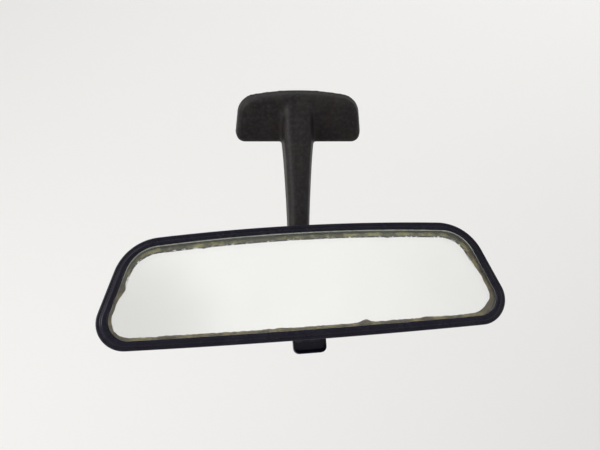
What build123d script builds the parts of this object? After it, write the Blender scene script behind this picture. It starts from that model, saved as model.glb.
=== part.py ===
"""Interior rearview mirror: header foot and stem, clamped ball joint, anti-dazzle prism head.

Units are millimetres. The origin is the middle of the roof plate's mounting face, +Z is up as
installed, the mirror looks towards -Y and +X is the driver's right. The head is drawn in its own
frame about the ball centre: x along the mirror, y up the mirror, z out of the glass.
"""
from build123d import *
import os
from math import cos, radians, sin

os.makedirs("parts", exist_ok=True)

# ---- driving dimensions ----
header_angle = 40.0      # visible face of the foot, below the horizontal
foot_half_bottom = 41.2
foot_half_top = 38.0
foot_low = -17.0         # lower edge in the plane of the foot
foot_high = 12.3         # upper corners, before the arch
foot_arch = 4.7
foot_thick = 9.0
foot_rim = 1.0           # the rim stands clear of the roof by the gasket
plate_thick = 1.6
screw_spacing = 40.0
screw_hole_r = 2.25

ball_centre = (0.0, -22.0, -115.2)
ball_r = 6.5
gap = 0.3                # between spherical faces
liner_in = ball_r + gap
liner_out = 8.0
socket_r = liner_out + gap
neck_r = 2.6
arm_front_gap = 14.0     # ball centre to the front of the arm
shank_r = 3.5

head_yaw = 7.5
head_roll = -4.2
half_bottom, half_top, corner_height = 128.6, 101.5, 61.45
case_shift = -0.325      # the case reaches a little further below the ball than above
rise_top, rise_bottom = 4.05, 1.7
r_low, r_up = 15.8, 30.6
z_face = 22.0            # front of the bezel
z_lip = 20.8             # front of the housing
z_ledge = 13.0           # where the bezel and the glass bed rest
z_back = -6.0            # back of the housing
wall = 2.2
draft = 5.0
open_bottom, open_top, open_height = 119.5, 97.6, 51.4
open_rise_top, open_rise_bottom = 4.3, 1.1
open_r_low, open_r_up = 11.2, 22.0
open_shift, open_across = -0.05, 0.5

glass_front = 20.6
glass_thick_top, glass_thick_bottom, glass_height = 5.6, 3.2, 58.5
glass_mid = glass_front - (glass_thick_top + glass_thick_bottom) / 2
wedge_slope = (glass_thick_top - glass_thick_bottom) / glass_height
silver_thick = 0.3

dip_y, dip_z = 15.0, 7.4           # hinge of the case on the carrier
lever_y, lever_z = -24.5, 3.5      # pivot of the dip lever
crank, nose_r, hub_r = 4.7, 1.1, 2.9
pin_r, running = 1.2, 0.06
nose_angle = 17.0                  # the nose stands this far ahead of upright at rest
slot_z = lever_z + crank * sin(radians(nose_angle))
tab_low, tab_half, tab_across = -39.9, 9.9, 2.0

# ---- shared planes ----
out_y, out_z = -cos(radians(header_angle)), -sin(radians(header_angle))
foot = Plane(origin=(0, 0, 0), x_dir=(1, 0, 0), z_dir=(0, out_y, out_z))
foot_side = Plane(origin=(0, 0, 0), x_dir=(1, 0, 0), z_dir=-foot.y_dir)
stud = Plane(origin=ball_centre, x_dir=(1, 0, 0), z_dir=(0, 1, 0))
yaw, roll = radians(head_yaw), radians(head_roll)
head = Plane(
    origin=ball_centre,
    x_dir=(cos(yaw) * cos(roll), sin(yaw) * cos(roll), -sin(roll)),
    z_dir=(sin(yaw), -cos(yaw), 0),
)
side = Plane(origin=head.origin, x_dir=head.y_dir, z_dir=head.x_dir)
tilt = Vector(0, wedge_slope, 1).normalized()
glass_back = Plane(
    origin=head.from_local_coords((0, 0, glass_mid)),
    x_dir=head.x_dir,
    z_dir=head.y_dir * tilt.Y + head.z_dir * tilt.Z,
)


def trapezoid(bottom, top, height, up, down, low_r, high_r, shift=0.0, across=0.0):
    """Rounded trapezoid with a bowed top and bottom, centred between its virtual corners."""
    low, high = shift - height / 2, shift + height / 2
    with BuildLine() as edge:
        ThreePointArc((across - bottom, low), (across, low - down), (across + bottom, low))
        Line((across + bottom, low), (across + top, high))
        ThreePointArc((across + top, high), (across, high + up), (across - top, high))
        Line((across - top, high), (across - bottom, low))
    make_face(edge.edges())
    sketch = BuildSketch._get_context()
    corners = sketch.vertices().sort_by(Axis.Y)
    fillet(corners[:2], radius=low_r)
    corners = sketch.vertices().filter_by(lambda v: v.Y > height * 0.3)
    fillet(corners, radius=high_r)


def case_outline(inset=0.0):
    """Outline of the case at its front, inset by a wall or a gap."""
    trapezoid(half_bottom, half_top, corner_height, rise_top, rise_bottom, r_low, r_up, case_shift)
    if inset:
        offset(amount=-inset, mode=Mode.REPLACE)


def opening_outline(grow=0.0):
    """Outline of the visible glass, grown under the bezel."""
    trapezoid(
        open_bottom, open_top, open_height, open_rise_top, open_rise_bottom, open_r_low, open_r_up, open_shift,
        open_across,
    )
    if grow:
        offset(amount=grow, mode=Mode.REPLACE)


def foot_outline():
    """Outline of the foot: a straight lower edge under a low arch."""
    with BuildLine() as edge:
        Line((-foot_half_bottom, foot_low), (foot_half_bottom, foot_low))
        Line((foot_half_bottom, foot_low), (foot_half_top, foot_high))
        ThreePointArc((foot_half_top, foot_high), (0, foot_high + foot_arch), (-foot_half_top, foot_high))
        Line((-foot_half_top, foot_high), (-foot_half_bottom, foot_low))
    make_face(edge.edges())
    sketch = BuildSketch._get_context()
    fillet(sketch.vertices().filter_by(lambda v: v.Y < 0), radius=6.0)
    fillet(sketch.vertices().filter_by(lambda v: v.Y > foot_high - 2), radius=13.0)


def finish(builder, label):
    """Name a sub-part and write it."""
    builder.part.label = label
    export_step(builder.part, f"parts/{label}.step")


# ---- roof side ----
with BuildPart() as roof_plate:
    with BuildSketch(foot):
        RectangleRounded(62, 23, 7)
        with Locations((-screw_spacing / 2, 0), (screw_spacing / 2, 0)):
            Circle(screw_hole_r, mode=Mode.SUBTRACT)
        with Locations((-8, 0), (8, 0)):
            Circle(1.5, mode=Mode.SUBTRACT)
    extrude(amount=plate_thick)
finish(roof_plate, "roof_plate")

with BuildPart() as clip_spring:
    with BuildSketch(foot_side):
        with BuildLine():
            Polyline(
                (-13.0, 1.6), (13.0, 1.6), (13.9, 3.6), (13.1, 5.4), (12.5, 5.2), (13.2, 3.65), (12.5, 2.2),
                (-12.5, 2.2), (-13.2, 3.65), (-12.5, 5.2), (-13.1, 5.4), (-13.9, 3.6), close=True,
            )
        make_face()
    extrude(amount=5.5, both=True)
    with BuildSketch(foot.offset(1.6)):
        with Locations((-8, 0), (8, 0)):
            Circle(1.5)
    extrude(amount=0.6, mode=Mode.SUBTRACT)
finish(clip_spring, "clip_spring")

with BuildPart() as clip_rivets:
    with BuildSketch(foot):
        with Locations((-8, 0), (8, 0)):
            Circle(1.5)
    extrude(amount=2.2)
    with BuildSketch(foot.offset(2.2)):
        with Locations((-8, 0), (8, 0)):
            Circle(2.6)
    extrude(amount=1.0, taper=25)
finish(clip_rivets, "clip_rivets")

with BuildPart() as foot_gasket:
    with BuildSketch(foot):
        foot_outline()
        offset(amount=-0.9, mode=Mode.REPLACE)
        offset(amount=-1.6, mode=Mode.SUBTRACT)
    extrude(amount=foot_rim)
finish(foot_gasket, "foot_gasket")

# ---- stem: foot and arm in one moulding ----
arm_sections = [          # height, front, back, width in front, width behind
    (ball_centre[2], -8.0, 4.6, 9.4, 12.6),
    (-82.0, -9.2, 5.2, 10.0, 13.2),
    (-56.0, -10.1, 6.0, 11.6, 15.0),
    (-30.0, -11.0, 6.8, 14.4, 18.0),
    (-17.0, -11.7, 7.2, 16.4, 20.4),
    (-6.0, -12.8, 7.6, 17.4, 21.6),
    (4.5, -15.0, 7.8, 18.0, 22.4),
]

with BuildPart() as stem:
    with BuildSketch(foot.offset(foot_rim)):
        foot_outline()
    extrude(amount=foot_thick - foot_rim, taper=9)
    rim_top = stem.faces().filter_by(lambda f: abs(abs(f.normal_at().dot(foot.z_dir)) - 1) < 1e-4)
    fillet(rim_top.sort_by(lambda f: foot.to_local_coords(f.center()).Z)[-1].edges(), radius=3.0)
    for z, front, back, wide_front, wide_back in arm_sections:
        with BuildSketch(Plane.XY.offset(z)) as section:
            with BuildLine():
                Polyline(
                    (-wide_front / 2, front), (wide_front / 2, front), (wide_back / 2, back),
                    (-wide_back / 2, back), close=True,
                )
            make_face()
            fillet(section.vertices().sort_by(Axis.Y)[:2], radius=3.4)
            fillet(section.vertices().sort_by(Axis.Y)[-2:], radius=1.2)
    loft()
    with BuildSketch(stud.offset(arm_front_gap)):
        Circle(6.9)
    extrude(amount=12.4)
    split(bisect_by=foot.offset(foot_rim), keep=Keep.TOP)
    # room for the plate and its clip
    with BuildSketch(foot.offset(foot_rim)):
        RectangleRounded(64, 25, 8)
    extrude(amount=5.0, mode=Mode.SUBTRACT)
    # the arm is cored from behind
    with BuildSketch(Plane(origin=(0, 12, -64), x_dir=(-1, 0, 0), z_dir=(0, 1, 0))):
        RectangleRounded(6.4, 70, 3)
    extrude(amount=-13.5, mode=Mode.SUBTRACT)
    # bore for the stud
    with BuildSketch(stud.offset(arm_front_gap - 1)):
        Circle(shank_r)
    extrude(amount=10.0, mode=Mode.SUBTRACT)
finish(stem, "stem")

with BuildPart(stud) as ball_stud:
    Sphere(ball_r)
    with BuildSketch(stud.offset(4.0)):
        Circle(neck_r)
    extrude(amount=9.0)
    with BuildSketch(stud.offset(11.7)):
        RegularPolygon(radius=5.0, side_count=6)
    extrude(amount=1.8)
    with BuildSketch(stud.offset(13.5)):
        Circle(shank_r)
    extrude(amount=arm_front_gap - 4.5)
finish(ball_stud, "ball_stud")

# ---- ball socket ----
with BuildPart(head) as liner_rear:
    Sphere(liner_out)
    Sphere(liner_in, mode=Mode.SUBTRACT)
    split(bisect_by=head.offset(-1.0), keep=Keep.BOTTOM)
    Cylinder(5.6, 20, mode=Mode.SUBTRACT)
finish(liner_rear, "liner_rear")

with BuildPart(head) as liner_front:
    Sphere(liner_out)
    Sphere(liner_in, mode=Mode.SUBTRACT)
    split(bisect_by=head.offset(1.0), keep=Keep.TOP)
    split(bisect_by=head.offset(6.2), keep=Keep.BOTTOM)
finish(liner_front, "liner_front")

clamp_spots = PolarLocations(14.0, 3, start_angle=30)
with BuildPart(head) as carrier:
    with BuildSketch(head.offset(1.2)):
        Circle(11.5)
        with clamp_spots:
            Circle(3.3)
    extrude(amount=7.4)
    with BuildSketch(head.offset(6.2)):
        with Locations((0, -1.75)):
            RectangleRounded(51, 29.5, 4)
    extrude(amount=2.4)
    with BuildSketch(side):
        with Locations((dip_y, dip_z)):
            Circle(3.0)
    extrude(amount=24.0, both=True)
    # fork that the lever's nose works in
    with BuildSketch(side):
        with Locations((-17.2, slot_z)):
            Rectangle(2.2, 6.6)
        with Locations((-18.8, slot_z + 2.4), (-18.8, slot_z - 2.4)):
            Rectangle(4.4, 1.8)
    extrude(amount=6.0, both=True)
    Sphere(socket_r, mode=Mode.SUBTRACT)
    with BuildSketch(head.offset(6.8)):
        Circle(6.5)
    extrude(amount=1.8)
    with BuildSketch(head.offset(1.2)):
        with clamp_spots:
            Circle(1.35)
    extrude(amount=7.4, mode=Mode.SUBTRACT)
    with BuildSketch(side):
        with Locations((dip_y, dip_z)):
            Circle(pin_r + running)
    extrude(amount=24.0, both=True, mode=Mode.SUBTRACT)
    # lightening windows either side of the socket
    with BuildSketch(head.offset(6.2)):
        with Locations((-19.5, -2), (19.5, -2)):
            RectangleRounded(6, 17, 2.5)
    extrude(amount=2.4, mode=Mode.SUBTRACT)
finish(carrier, "carrier")

with BuildPart(head) as socket_clamp:
    with BuildSketch(head.offset(-0.6)):
        Circle(11.5)
        with clamp_spots:
            Circle(3.3)
        make_hull()
    extrude(amount=1.6)
    with BuildSketch(head.offset(-6.2)):
        Circle(10.4)
    extrude(amount=5.6)
    Sphere(socket_r, mode=Mode.SUBTRACT)
    Cylinder(6.3, 20, mode=Mode.SUBTRACT)
    with BuildSketch(head.offset(-0.6)):
        with clamp_spots:
            Circle(1.2)
    extrude(amount=1.6, mode=Mode.SUBTRACT)
finish(socket_clamp, "socket_clamp")

with BuildPart() as clamp_screws:
    with BuildSketch(head.offset(-0.6)):
        with clamp_spots:
            Circle(1.2)
    extrude(amount=13.2)
    with BuildSketch(head.offset(12.6)):
        with clamp_spots:
            Circle(2.5)
    extrude(amount=1.6)
    with BuildSketch(head.offset(13.4)):
        with clamp_spots:
            RegularPolygon(radius=1.2, side_count=6)
    extrude(amount=0.8, mode=Mode.SUBTRACT)
finish(clamp_screws, "clamp_screws")

with BuildPart() as one_spring:
    with BuildLine() as coil:
        Helix(pitch=1.05, height=3.2, radius=2.0)
    with BuildSketch(Plane(origin=coil.line @ 0, z_dir=coil.line % 0)):
        Circle(0.3)
    sweep()
with BuildPart() as clamp_springs:
    for spot in clamp_spots.local_locations:
        add(head.location * spot * Location((0, 0, 9.0)) * one_spring.part)
finish(clamp_springs, "clamp_springs")

# ---- case ----
with BuildPart() as housing:
    with BuildSketch(head.offset(z_lip)):
        case_outline()
    extrude(amount=z_back - z_lip, taper=draft)
    by_depth = housing.faces().filter_by(GeomType.PLANE).sort_by(lambda f: head.to_local_coords(f.center()).Z)
    fillet(by_depth[0].edges(), radius=11.0)
    fillet(by_depth[-1].edges(), radius=0.8)
    # rebate for the bezel
    with BuildSketch(head.offset(z_lip)):
        case_outline(1.8)
    extrude(amount=z_ledge - z_lip, mode=Mode.SUBTRACT)
    # the hollow behind it, drawn apart because it has its own rounded floor
    with BuildPart(mode=Mode.PRIVATE) as hollow:
        with BuildSketch(head.offset(z_ledge)):
            case_outline(3.1)
        extrude(amount=z_back + wall - z_ledge, taper=draft)
        floor = hollow.faces().filter_by(GeomType.PLANE).sort_by(lambda f: head.to_local_coords(f.center()).Z)
        fillet(floor[0].edges(), radius=8.0)
    add(hollow.part, mode=Mode.SUBTRACT)
    # bed for the glass
    with BuildSketch(head.offset(z_ledge - 1.5)):
        case_outline(2.6)
        offset(amount=-4.4, mode=Mode.SUBTRACT)
    extrude(amount=1.5)
    # pad posts, hinge ears and lever bosses stand on the floor
    with BuildSketch(head.offset(z_back + wall - 0.4)):
        with Locations((-72, 0), (72, 0)):
            RectangleRounded(8, 34, 2)
    extrude(amount=z_ledge - z_back - wall + 0.4)
    with BuildSketch(head.offset(z_back + wall - 0.4)):
        with Locations((-28.5, dip_y), (28.5, dip_y)):
            RectangleRounded(4, 8, 1)
    extrude(amount=dip_z + 3.2 - z_back - wall + 0.4)
    with BuildSketch(side.offset(12.4)):
        with BuildLine():
            Polyline(
                (lever_y - 5.2, lever_z + 4.0), (lever_y + 3.2, lever_z + 4.0), (lever_y + 3.2, z_back + wall - 0.4),
                (lever_y + 0.4, z_back + wall - 0.4), (lever_y - 5.2, lever_z - 3.0), close=True,
            )
        make_face()
    extrude(amount=3.2)
    with BuildSketch(side.offset(-12.4)):
        with BuildLine():
            Polyline(
                (lever_y - 5.2, lever_z + 4.0), (lever_y + 3.2, lever_z + 4.0), (lever_y + 3.2, z_back + wall - 0.4),
                (lever_y + 0.4, z_back + wall - 0.4), (lever_y - 5.2, lever_z - 3.0), close=True,
            )
        make_face()
    extrude(amount=-3.2)
    # openings: ball socket behind, lever slot below, pin bores
    with BuildSketch(head.offset(z_back - 1)):
        Circle(12.8)
    extrude(amount=wall + 2, mode=Mode.SUBTRACT)
    with BuildSketch(side.offset(tab_across)):
        with Locations((lever_y - 9.0, lever_z + 2.75)):
            Rectangle(12.0, 10.5)
    extrude(amount=10.3, both=True, mode=Mode.SUBTRACT)
    with BuildSketch(side):
        with Locations((dip_y, dip_z), (lever_y, lever_z)):
            Circle(pin_r)
    extrude(amount=33.0, both=True, mode=Mode.SUBTRACT)
finish(housing, "housing")

with BuildPart() as bezel:
    with BuildSketch(head.offset(z_ledge)):
        case_outline(2.1)
    extrude(amount=z_face - z_ledge)
    with BuildSketch(head.offset(z_ledge)):
        opening_outline(1.0)
    extrude(amount=glass_front + 0.1 - z_ledge, mode=Mode.SUBTRACT)
    with BuildSketch(head.offset(z_ledge)):
        opening_outline()
    extrude(amount=z_face - z_ledge, mode=Mode.SUBTRACT)
    front = bezel.faces().filter_by(GeomType.PLANE).sort_by(lambda f: head.to_local_coords(f.center()).Z)[-1]
    fillet(front.edges(), radius=0.7)
finish(bezel, "bezel")

with BuildPart() as glass:
    with BuildSketch(head.offset(glass_front)):
        opening_outline(0.85)
    extrude(amount=-glass_thick_top - 0.5)
    split(bisect_by=glass_back, keep=Keep.TOP)
    front = glass.faces().sort_by(lambda f: head.to_local_coords(f.center()).Z)[-1]
    chamfer(front.edges(), length=0.5)
finish(glass, "glass")

with BuildPart() as silver:
    with BuildSketch(glass_back):
        opening_outline(-2.2)
    extrude(amount=-silver_thick)
finish(silver, "silver")

with BuildPart() as sealant_bead:
    with BuildSketch(head.offset(z_ledge)):
        opening_outline(0.5)
        offset(amount=-2.5, mode=Mode.SUBTRACT)
    extrude(amount=6.0)
    split(bisect_by=glass_back, keep=Keep.BOTTOM)
finish(sealant_bead, "sealant_bead")

with BuildPart() as foam_pads:
    with BuildSketch(head.offset(z_ledge)):
        with Locations((-72, 0), (72, 0)):
            RectangleRounded(12, 38, 2)
    extrude(amount=6.0)
    split(bisect_by=glass_back.offset(-silver_thick), keep=Keep.BOTTOM)
finish(foam_pads, "foam_pads")

with BuildPart() as dip_pin:
    with BuildSketch(side):
        with Locations((dip_y, dip_z)):
            Circle(pin_r)
    extrude(amount=33.0, both=True)
finish(dip_pin, "dip_pin")

with BuildPart() as lever_pin:
    with BuildSketch(side):
        with Locations((lever_y, lever_z)):
            Circle(pin_r)
    extrude(amount=16.0, both=True)
finish(lever_pin, "lever_pin")

with BuildPart() as spring_coil:
    with BuildLine() as torsion:
        Helix(pitch=0.85, height=2.2, radius=2.1)
    with BuildSketch(Plane(origin=torsion.line @ 0, z_dir=torsion.line % 0)):
        Circle(0.3)
    sweep()
with BuildPart() as lever_spring:
    add(side.location * Location((lever_y, lever_z, 9.6)) * spring_coil.part)
finish(lever_spring, "lever_spring")

# ---- dip lever ----
nose_y = lever_y + crank * cos(radians(nose_angle))
with BuildPart() as dip_lever:
    with BuildSketch(side):
        with Locations((lever_y, lever_z)):
            Circle(hub_r)
    extrude(amount=9.0, both=True)
    with BuildSketch(side) as crank_profile:
        with Locations((lever_y, lever_z)):
            Circle(nose_r)
        with Locations((nose_y, slot_z)):
            Circle(nose_r)
        make_hull()
    extrude(amount=5.0, both=True)
    with BuildSketch(head.offset(lever_z - 1.5)):
        with Locations((0, (lever_y - 32.5) / 2)):
            Rectangle(16.0, lever_y + 32.5)
    extrude(amount=3.0)
    with BuildSketch(head.offset(lever_z - 1.8)) as paddle:
        with Locations((tab_across, (tab_low - 30.8) / 2)):
            Rectangle(2 * tab_half, -30.8 - tab_low)
        fillet(paddle.vertices().sort_by(Axis.Y)[:2], radius=4.5)
        fillet(paddle.vertices().sort_by(Axis.Y)[-2:], radius=1.5)
    extrude(amount=3.6)
    with BuildSketch(head.offset(lever_z + 1.8)) as scoop:
        with Locations((tab_across, (tab_low - 31.5) / 2 + 0.8)):
            Rectangle(2 * tab_half - 3.2, -31.5 - tab_low - 1.6)
        fillet(scoop.vertices().sort_by(Axis.Y)[:2], radius=3.2)
        fillet(scoop.vertices().sort_by(Axis.Y)[-2:], radius=1.0)
    extrude(amount=-1.5, taper=30, mode=Mode.SUBTRACT)
    with BuildSketch(side):
        with Locations((lever_y, lever_z)):
            Circle(pin_r + running)
    extrude(amount=9.0, both=True, mode=Mode.SUBTRACT)
finish(dip_lever, "dip_lever")
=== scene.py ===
"""Interior rearview mirror: visible pieces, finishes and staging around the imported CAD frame."""
import logging
import math
from dataclasses import dataclass, field, replace
from enum import Enum
from typing import Callable, Optional, Sequence

import bmesh
import bpy
from mathutils import Matrix, Vector, noise


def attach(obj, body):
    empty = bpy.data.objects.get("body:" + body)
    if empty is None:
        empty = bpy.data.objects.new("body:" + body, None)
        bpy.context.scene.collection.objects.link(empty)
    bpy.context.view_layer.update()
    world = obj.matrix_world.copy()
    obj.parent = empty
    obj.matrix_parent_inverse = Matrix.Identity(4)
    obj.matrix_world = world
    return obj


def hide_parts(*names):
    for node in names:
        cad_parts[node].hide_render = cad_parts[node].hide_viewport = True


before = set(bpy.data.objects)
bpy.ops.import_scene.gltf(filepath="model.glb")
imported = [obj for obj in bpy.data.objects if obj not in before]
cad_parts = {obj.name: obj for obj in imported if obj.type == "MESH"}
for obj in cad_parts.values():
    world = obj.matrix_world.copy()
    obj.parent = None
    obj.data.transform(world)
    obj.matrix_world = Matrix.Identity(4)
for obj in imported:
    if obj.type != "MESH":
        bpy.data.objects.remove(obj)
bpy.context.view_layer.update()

logging.basicConfig(level=logging.INFO, format="%(message)s")
log = logging.getLogger("mirror")

Obj = bpy.types.Object
Material = bpy.types.Material
Tree = bpy.types.NodeTree
Node = bpy.types.Node
Socket = bpy.types.NodeSocket
Triple = tuple[float, float, float]

MM = 0.001
BALL_CENTRE = Vector((0.0, -22.0, -115.2))
HEAD_YAW = math.radians(7.5)
HEAD_ROLL = math.radians(-4.2)
HEADER_ANGLE = math.radians(40.0)


# ---------------------------------------------------------------- placing

def plane_matrix(origin: Vector, right: Vector, out: Vector) -> Matrix:
    """Matrix that takes a drawing's millimetres to metres in the row's frame.

    Args:
        origin: the drawing's origin, in millimetres of the row's frame.
        right: direction of the drawing's x.
        out: direction of the drawing's z.

    Returns:
        The matrix, with y square to the other two.
    """
    right, out = right.normalized(), out.normalized()
    up = out.cross(right)
    turn = Matrix((right, up, out)).transposed().to_4x4()
    return Matrix.Scale(MM, 4) @ Matrix.Translation(origin) @ turn


HEAD = plane_matrix(
    BALL_CENTRE,
    Vector((
        math.cos(HEAD_YAW) * math.cos(HEAD_ROLL),
        math.sin(HEAD_YAW) * math.cos(HEAD_ROLL),
        -math.sin(HEAD_ROLL),
    )),
    Vector((math.sin(HEAD_YAW), -math.cos(HEAD_YAW), 0.0)),
)
FOOT = plane_matrix(
    Vector((0, 0, 0)),
    Vector((1, 0, 0)),
    Vector((0, -math.cos(HEADER_ANGLE), -math.sin(HEADER_ANGLE))),
)
STUD = plane_matrix(BALL_CENTRE, Vector((1, 0, 0)), Vector((0, 1, 0)))
UPRIGHT = Matrix.Scale(MM, 4)


class Side(Enum):
    """Which edge loop a lofted shape closes with a face."""

    START = "start"
    END = "end"
    BOTH = "both"
    NEITHER = "neither"


# ---------------------------------------------------------------- number helpers

def ramp(value: float, low: float, high: float) -> float:
    """Share of the way from low to high, kept within 0..1."""
    return max(0.0, min(1.0, (value - low) / (high - low)))


def falloff(distance: float, reach: float, power: int = 2) -> float:
    """Bell curve: 1 at no distance, near 0 past the reach."""
    return math.exp(-((distance / reach) ** power))


def quarter(count: int) -> list[tuple[float, float]]:
    """Steps of a quarter round: how far across and how far along, as shares of its radius."""
    angles = [math.pi / 2 * i / count for i in range(1, count + 1)]
    return [(1 - math.cos(t), math.sin(t)) for t in angles]


# ---------------------------------------------------------------- modelling helpers

def deselect() -> None:
    """Leave nothing selected and nothing active."""
    if bpy.context.object and bpy.context.object.mode != "OBJECT":
        bpy.ops.object.mode_set(mode="OBJECT")
    bpy.ops.object.select_all(action="DESELECT")
    bpy.context.view_layer.objects.active = None


def pick(obj: Obj, kind: str, test: Callable[[object], bool]) -> None:
    """Select, in edit mode, the faces or edges that pass a test.

    Args:
        obj: the object in edit mode.
        kind: "faces" or "edges".
        test: which of them to select.
    """
    bpy.ops.mesh.select_all(action="DESELECT")
    mesh = bmesh.from_edit_mesh(obj.data)
    mesh.normal_update()
    for item in [i for i in getattr(mesh, kind) if test(i)]:
        item.select_set(True)
    bmesh.update_edit_mesh(obj.data)


def take(obj: Obj) -> Obj:
    """Select one object alone and make it active."""
    deselect()
    obj.select_set(True)
    bpy.context.view_layer.objects.active = obj
    return obj


def settle(obj: Obj, name: str, place: Matrix) -> Obj:
    """Name a modelled object and write its place into its mesh.

    Args:
        obj: the object, drawn in millimetres about the drawing's origin.
        name: the piece's name.
        place: the drawing's matrix.

    Returns:
        The object, at the origin, unturned and unscaled.
    """
    bake_place(obj)
    obj.data.transform(place)
    obj.name = name
    obj.data.name = name
    obj.data.update()
    return obj


def recalculate(obj: Obj, merge: float = 0.0005) -> None:
    """Merge doubled points and turn all faces outwards."""
    take(obj)
    bpy.ops.object.mode_set(mode="EDIT")
    bpy.ops.mesh.select_all(action="SELECT")
    bpy.ops.mesh.remove_doubles(threshold=merge)
    bpy.ops.mesh.normals_make_consistent(inside=False)
    bpy.ops.object.mode_set(mode="OBJECT")


def smooth(obj: Obj, angle: float = 35.0) -> None:
    """Shade smooth, with creases kept where faces meet more sharply than the angle."""
    take(obj)
    bpy.ops.object.shade_smooth_by_angle(angle=math.radians(angle))


def modify(obj: Obj, kind: str, **values: object) -> bpy.types.Modifier:
    """Add a modifier with its settings."""
    modifier = obj.modifiers.new(kind.lower(), kind)
    for name, value in values.items():
        setattr(modifier, name, value)
    return modifier


def apply_modifiers(obj: Obj) -> None:
    """Apply every modifier in order."""
    take(obj)
    for modifier in list(obj.modifiers):
        bpy.ops.object.modifier_apply(modifier=modifier.name)


def bake_place(obj: Obj) -> None:
    """Write an object's own place, turn and size into its mesh."""
    take(obj)
    bpy.ops.object.transform_apply(location=True, rotation=True, scale=True)


def to_row(obj: Obj, place: Matrix) -> None:
    """Carry a part from its drawing plane to the row's millimetres."""
    obj.data.transform(place)
    obj.data.transform(Matrix.Scale(1 / MM, 4))


def cut(obj: Obj, cutter: Obj) -> None:
    """Subtract another object, which is then removed."""
    modify(obj, "BOOLEAN", operation="DIFFERENCE", solver="EXACT", object=cutter)
    apply_modifiers(obj)
    bpy.data.objects.remove(cutter, do_unlink=True)


def join(parts: Sequence[Obj]) -> Obj:
    """Join several objects into the first."""
    deselect()
    for part in parts:
        part.select_set(True)
    bpy.context.view_layer.objects.active = parts[0]
    bpy.ops.object.join()
    return parts[0]


def loft(
    rings: Sequence[Sequence[Vector]],
    caps: Side = Side.BOTH,
    marks: Optional[Sequence[Sequence[float]]] = None,
) -> Obj:
    """Skin a stack of rings: a circle is added, shaped to the first and extruded through the rest.

    Args:
        rings: closed rings with the same number of points, in millimetres.
        caps: which ends are closed.
        marks: a number for each point of each ring, kept as the attribute "share".

    Returns:
        The new object, in object mode.
    """
    count = len(rings[0])
    deselect()
    bpy.ops.mesh.primitive_circle_add(vertices=count, radius=1.0, fill_type="NOTHING")
    obj = bpy.context.object
    bpy.ops.object.mode_set(mode="EDIT")
    bpy.context.tool_settings.mesh_select_mode = (True, True, False)
    mesh = bmesh.from_edit_mesh(obj.data)
    station = mesh.verts.layers.int.new("station")
    share = mesh.verts.layers.float.new("share") if marks else None
    for i, vert in enumerate(sorted(mesh.verts, key=lambda v: v.index)):
        vert[station] = i
        vert.co = rings[0][i]
        if marks:
            vert[share] = marks[0][i]
    bmesh.update_edit_mesh(obj.data)
    bpy.ops.mesh.select_all(action="SELECT")
    if caps in (Side.START, Side.BOTH):
        bpy.ops.mesh.edge_face_add()
        mesh = bmesh.from_edit_mesh(obj.data)
        for face in mesh.faces:
            face.select_set(False)
        for edge in mesh.edges:
            edge.select_set(True)
        bmesh.update_edit_mesh(obj.data)
    for level, ring in enumerate(rings[1:], 1):
        bpy.ops.mesh.extrude_edges_move(TRANSFORM_OT_translate={"value": (0, 0, 0.001)})
        mesh = bmesh.from_edit_mesh(obj.data)
        station = mesh.verts.layers.int["station"]
        share = mesh.verts.layers.float["share"] if marks else None
        for vert in mesh.verts:
            if vert.select:
                if marks:
                    vert[share] = marks[level][vert[station]]
                vert.co = ring[vert[station]]
        bmesh.update_edit_mesh(obj.data)
    if caps in (Side.END, Side.BOTH):
        bpy.ops.mesh.edge_face_add()
    bpy.ops.object.mode_set(mode="OBJECT")
    obj.data.attributes.remove(obj.data.attributes["station"])
    return obj


def round_bar(stations: Sequence[tuple[float, float]], sides: int = 48) -> list[list[Vector]]:
    """Rings for a turned piece along z, from (z, radius) pairs."""
    angles = [2 * math.pi * i / sides for i in range(sides)]
    return [[Vector((r * math.cos(t), r * math.sin(t), z)) for t in angles] for z, r in stations]


def block(size: Triple, centre: Triple) -> Obj:
    """A cube stretched to a size and place, left in edit mode to be shaped."""
    deselect()
    bpy.ops.mesh.primitive_cube_add(size=1.0, location=centre)
    obj = bpy.context.object
    obj.scale = size
    bake_place(obj)
    bpy.ops.object.mode_set(mode="EDIT")
    return obj


def rounded_block(size: Triple, centre: Triple, bevel: float, segments: int) -> Obj:
    """A block with all its edges bevelled."""
    obj = block(size, centre)
    bpy.ops.mesh.select_all(action="SELECT")
    bpy.ops.mesh.bevel(offset=bevel, segments=segments, affect="EDGES")
    bpy.ops.object.mode_set(mode="OBJECT")
    return obj


# ---------------------------------------------------------------- outlines

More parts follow.
